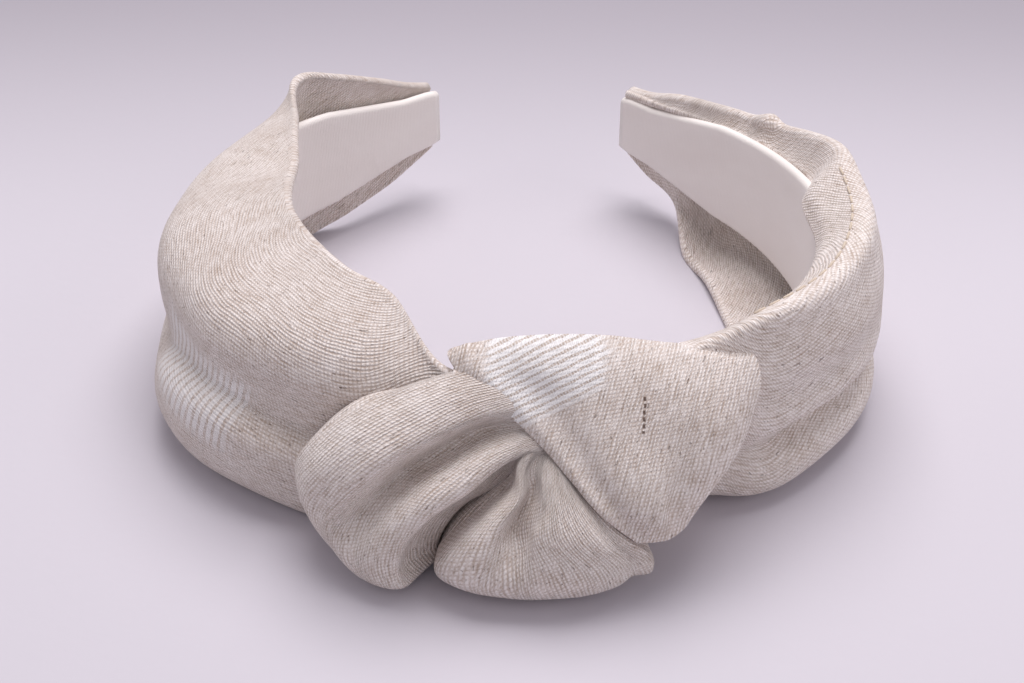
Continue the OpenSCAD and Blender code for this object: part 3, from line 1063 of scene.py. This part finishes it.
@dataclass
class Knot:
    """The three lobes of the turban knot."""

    plan: Plan
    seat_n: float = 7.3

    def seat(self, fronts: np.ndarray) -> np.ndarray:
        """Points on the band's cover behind the fronts of a lobe.

        Args:
            fronts: Array of shape (rings, steps, 3), in millimetres.

        Returns:
            Array of the same shape.
        """
        radius = self.plan.crown_r + self.seat_n
        centre = np.array([self.plan.mid_x, self.plan.crown_cy])
        out = fronts[..., :2] - centre
        out = out / np.linalg.norm(out, axis=-1, keepdims=True)
        reach = np.linalg.norm(fronts[..., :2] - centre, axis=-1)
        back = np.minimum(reach - 1.6, radius)
        flat = centre + out * back[..., None]
        return np.concatenate([flat, fronts[..., 2:]], axis=-1)

    @staticmethod
    def tongue_creases(i: np.ndarray, j: np.ndarray) -> np.ndarray:
        """Wrinkles of the tongue, outward in millimetres, from share down and share across."""
        roll = 0.9 * bell(j, 0.06, 0.05) - 0.7 * bell(j, 0.17, 0.07)
        fold = -0.9 * bell(j + 0.28 * i, 0.80, 0.07) * bell(i, 0.70, 0.30)
        soft = 0.35 * np.sin(i * 8 + j * 4) + 0.25 * np.sin(j * 11 - i * 3)
        inner = np.clip(np.minimum(j, 1 - j) * 12, 0, 1) * np.clip((1 - i) * 6, 0, 1)
        return (roll + fold + soft) * inner

    def tongue(self) -> Lobe:
        """The lobe that crosses over the band from lower right to upper left."""
        fronts = [
            [(-8, -47, 39), (0, -45.5, 40), (10, -44.5, 40.5), (20, -44, 40.5),
             (28, -44, 40), (36, -43, 39), (44, -41, 36.5)],
            [(-10, -50.5, 40.6), (-1, -49, 42.4), (10, -48, 43.2), (20, -47.5, 43),
             (28, -47.5, 42), (37, -47, 40.8), (47, -43.5, 38)],
            [(-7, -54.5, 38.6), (2, -53.6, 40.6), (12, -52.8, 41.4), (22, -53, 41),
             (31, -53.5, 39.8), (40, -51.5, 37.4), (48.5, -46.5, 34.4)],
            [(0, -58, 35), (8, -57, 37), (17, -57, 37.6), (26, -57.8, 36.8),
             (35, -58, 35), (42, -55, 32), (47.5, -49, 29.5)],
            [(8, -62, 29), (14, -62.3, 31.2), (21, -62.3, 31.8), (29, -62.6, 30.5),
             (36, -62, 28.5), (41.5, -58, 25.5), (45, -52.5, 23.5)],
            [(13, -65.5, 25), (18, -66.5, 26), (24, -67, 26), (30, -66.6, 25),
             (35, -64.6, 22.8), (39, -60.8, 20.5), (41.5, -56, 19)],
            [(19, -69, 19.8), (23, -69.6, 20.6), (27, -69.6, 20.4), (31, -68.6, 19.4),
             (34, -66, 17.8), (37, -62.5, 16.2), (38.5, -58.5, 15.2)],
            [(26, -69.5, 13.8), (28, -69.6, 14.2), (30, -69, 14), (32, -67.6, 13.4),
             (34, -65, 12.8), (35.5, -62, 12), (36.5, -59, 11.6)],
        ]
        zone = StripeZone((-11.5, 30), 29, across=(-4.5, 21))
        finish = TwillFinish("linen_twill_tongue", 76, rib=0.85, stripes=zone, streak=(26.9, -8.8, -1.3))

        return Lobe("knot_tongue_fold", "knot_tongue", fronts, finish, (0.050, 0.052), self.seat,
                    self.tongue_creases, slope=(0.58, 0.82))

    @staticmethod
    def loop_creases(i: np.ndarray, j: np.ndarray) -> np.ndarray:
        """Wrinkles of the loop, outward in millimetres, from share down and share across."""
        dent = -0.9 * bell(j - 0.35 * i, 0.02, 0.05) * bell(i, 0.72, 0.16)
        soft = 0.35 * np.sin(i * 10 + j * 5) + 0.2 * np.sin(j * 9 - i * 12)
        return (dent + soft) * np.clip((1 - i) * 6, 0, 1) * np.clip(i * 6, 0, 1)

    def loop(self) -> Lobe:
        """The lobe that sweeps to the left from under the tongue and down."""
        fronts = [
            [(8, -50, 39), (9, -52, 36), (10, -54, 33), (11, -55.5, 31),
             (11.5, -57, 29.5), (12, -58, 28), (12.5, -58.5, 26), (13, -58, 24)],
            [(0, -53, 40), (1.5, -56, 37.5), (4, -57.8, 35), (5.5, -58.6, 31.8),
             (7, -60.8, 30.6), (8, -61.8, 29), (8.2, -62, 27.4), (8.5, -60, 26)],
            [(-9, -54.5, 39), (-6.5, -58.5, 37.6), (-3.8, -61.2, 34), (-3, -57.9, 29.4),
             (-0.8, -63.8, 29), (1, -65, 26.8), (1.6, -61.5, 24.4), (4, -60, 22.5)],
            [(-18, -57, 37), (-15.5, -62, 35.6), (-12.4, -65.4, 31.5), (-10.6, -59.6, 25.2),
             (-7.8, -67, 26), (-5, -68.4, 23.8), (-4.4, -64, 20.6), (-0.5, -61.5, 18.5)],
            [(-27, -58.5, 33), (-24.5, -64.5, 31.6), (-21, -68.4, 27.5), (-17.8, -62.2, 21.2),
             (-13.6, -69.8, 22.8), (-10.4, -71, 20.8), (-10, -66.2, 17.2), (-5.5, -62.5, 15)],
            [(-34.5, -57.5, 25.6), (-32, -64.5, 24.6), (-28.4, -68.8, 21), (-23.6, -66.4, 16.6),
             (-18.2, -72.6, 18), (-14.6, -73, 16), (-14, -68, 12.6), (-9, -63.5, 10.5)],
            [(-39, -54.5, 17), (-37.5, -60.5, 15.5), (-33.5, -66.5, 12), (-27.5, -70.5, 9.5),
             (-21.5, -74, 10.5), (-17, -74, 9.4), (-16, -69, 7), (-11, -64, 6)],
            [(-38, -54, 9), (-36, -59.5, 7), (-31.5, -65.5, 4.6), (-26.4, -70.4, 3.2),
             (-21, -73.4, 3.4), (-16.8, -73.4, 3.6), (-14.4, -69.5, 3.4), (-11, -64, 3)],
            [(-33, -54, 3), (-31, -57.5, 2), (-28, -61.5, 1.2), (-24, -65.4, 0.8),
             (-20, -68, 0.8), (-16.6, -68.4, 0.8), (-14.4, -66, 0.8), (-12, -62, 0.8)],
        ]
        finish = TwillFinish("linen_twill_loop", 6, rib=0.75)
        return Lobe("knot_left_loop_fold", "knot_left_loop", fronts, finish, (0.046, 0.050), self.seat,
                    self.loop_creases)

    @staticmethod
    def lower_creases(i: np.ndarray, j: np.ndarray) -> np.ndarray:
        """Wrinkles of the lower lobe, outward in millimetres, from share down and share across."""
        bevel = 0.6 * bell(j, 0.93, 0.03) - 0.8 * bell(j, 0.85, 0.035)
        branch = -0.8 * bell(j + 0.45 * i, 0.72, 0.045) * bell(i, 0.42, 0.16)
        soft = 0.3 * np.sin(i * 9 + j * 7) + 0.2 * np.sin(j * 13 - i * 5)
        return (bevel * np.clip(i * 3 - 0.3, 0, 1) + branch + soft) * np.clip((1 - i) * 6, 0, 1)

    def lower(self) -> Lobe:
        """The fan that spreads down from the pinch to the table."""
        fronts = [
            [(6, -59, 29), (7, -60, 29), (8, -60.5, 29), (9, -60.5, 29),
             (10, -60.5, 28.5), (11, -60.5, 28), (12, -60, 27.5), (12.5, -59, 27)],
            [(4, -62, 26), (4.4, -63.8, 26.4), (5.4, -64.4, 26.2), (6.8, -63.6, 25.6),
             (8.6, -65, 26), (11.6, -65.8, 25.2), (14.5, -65.6, 23.6), (15.5, -63.4, 22.6)],
            [(2.8, -63.5, 21.8), (3.4, -67.6, 23.2), (5, -69.6, 23), (6.6, -65.6, 21.4),
             (8.8, -70, 22.2), (12.4, -70.6, 21), (19, -69.4, 19.2), (20.5, -66, 17.8)],
            [(-1.8, -64.5, 17.6), (-1.2, -70, 19.4), (1.2, -72.8, 19), (4.2, -68.4, 16.8),
             (7.6, -73.4, 18), (14, -73.8, 17), (23, -71.2, 15), (25, -66.5, 13.4)],
            [(-6.8, -65, 12.6), (-6.4, -71.8, 14), (-1.8, -75, 14), (3.6, -73.4, 13),
             (9, -76, 13.2), (17.5, -75, 12), (26, -70.6, 10.8), (28.6, -66, 9.6)],
            [(-10.4, -65, 7), (-10.2, -71.8, 8), (-4.4, -75.6, 8), (3, -76.4, 8),
             (9.4, -76.8, 8), (18.5, -75, 7.6), (26.6, -70, 7.4), (29.6, -66, 7)],
            [(-10.6, -64, 3), (-10.2, -69.6, 3), (-4.6, -73, 2.8), (3, -74, 2.6),
             (9.4, -74, 2.6), (18, -72.6, 3), (26, -68.6, 4.4), (29, -65, 5)],
            [(-7, -62, 0.8), (-6.6, -65, 0.6), (-3, -67, 0.4), (3, -68, 0.3),
             (9, -68, 0.3), (16, -67, 0.6), (22.6, -65, 2), (25.6, -63, 3)],
        ]
        finish = TwillFinish("linen_twill_lower", 10, rib=0.8)
        return Lobe("knot_lower_fold", "knot_lower_lobe", fronts, finish, (0.038, 0.042), self.seat,
                    self.lower_creases)

    def build(self) -> None:
        """Build the three lobes."""
        for lobe in (self.tongue(), self.loop(), self.lower()):
            lobe.build()


# ---------------------------------------------------------------- the set


@dataclass
class Studio:
    """Floor, lights and camera."""

    heading: float = 4.0
    pitch: float = 36.0
    distance: float = 0.375
    look_at: Vector = field(default_factory=lambda: Vector((-0.00225, 0.01045, 0.0)))
    lens: float = 58.0
    floor_size: float = 8.0

    def camera(self) -> None:
        """Place the camera that looks down on the knot."""
        turn, tilt = math.radians(self.heading), math.radians(self.pitch)
        towards = Vector((-math.sin(turn) * math.cos(tilt), math.cos(turn) * math.cos(tilt), -math.sin(tilt)))
        data = bpy.data.cameras.new("camera")
        data.lens = self.lens
        data.clip_start = 0.01
        rig = bpy.data.objects.new("camera", data)
        rig.location = self.look_at - towards * self.distance
        rig.rotation_euler = towards.to_track_quat("-Z", "Y").to_euler()
        bpy.context.scene.collection.objects.link(rig)
        bpy.context.scene.camera = rig

    @staticmethod
    def light(name: str, place: tuple[float, float, float], size: float, power: float,
              colour: Colour) -> None:
        """Hang a square soft light that faces the band."""
        data = bpy.data.lights.new(name, "AREA")
        data.size, data.energy, data.color = size, power, colour
        lamp = bpy.data.objects.new(name, data)
        lamp.location = place
        lamp.rotation_euler = (Vector((0, 0, 0.02)) - Vector(place)).to_track_quat("-Z", "Y").to_euler()
        bpy.context.scene.collection.objects.link(lamp)

    def build(self) -> None:
        """Build the floor, the lights and the camera."""
        bpy.ops.mesh.primitive_plane_add(size=self.floor_size, location=(0, 0, 0))
        floor = bpy.context.object
        floor.name = "floor"
        floor.data.materials.append(TableFinish().material())
        world = bpy.data.worlds.new("soft_room")
        world.use_nodes = True
        world.node_tree.nodes["Background"].inputs["Color"].default_value = (0.90, 0.88, 0.95, 1)
        world.node_tree.nodes["Background"].inputs["Strength"].default_value = 0.42
        bpy.context.scene.world = world
        bpy.context.scene.view_settings.view_transform = "Standard"
        self.light("top_soft", (0.05, 0.25, 0.75), 0.6, 6.2, (1.0, 0.97, 0.98))
        self.light("left_soft", (-0.7, -0.15, 0.45), 0.5, 0.5, (1.0, 0.96, 0.95))
        self.light("right_soft", (0.6, -0.35, 0.40), 0.5, 0.8, (1.0, 0.96, 0.96))
        self.camera()


def main() -> None:
    """Build the whole headband and its set."""
    logging.basicConfig(level=logging.INFO, format="%(name)s: %(message)s")
    plan = Plan.from_frame(Band.lining_t + Band.core_t)
    Band(plan).build()
    Cover(plan).build()
    Knot(plan).build()
    Studio().build()


if __name__ == "__main__":
    main()
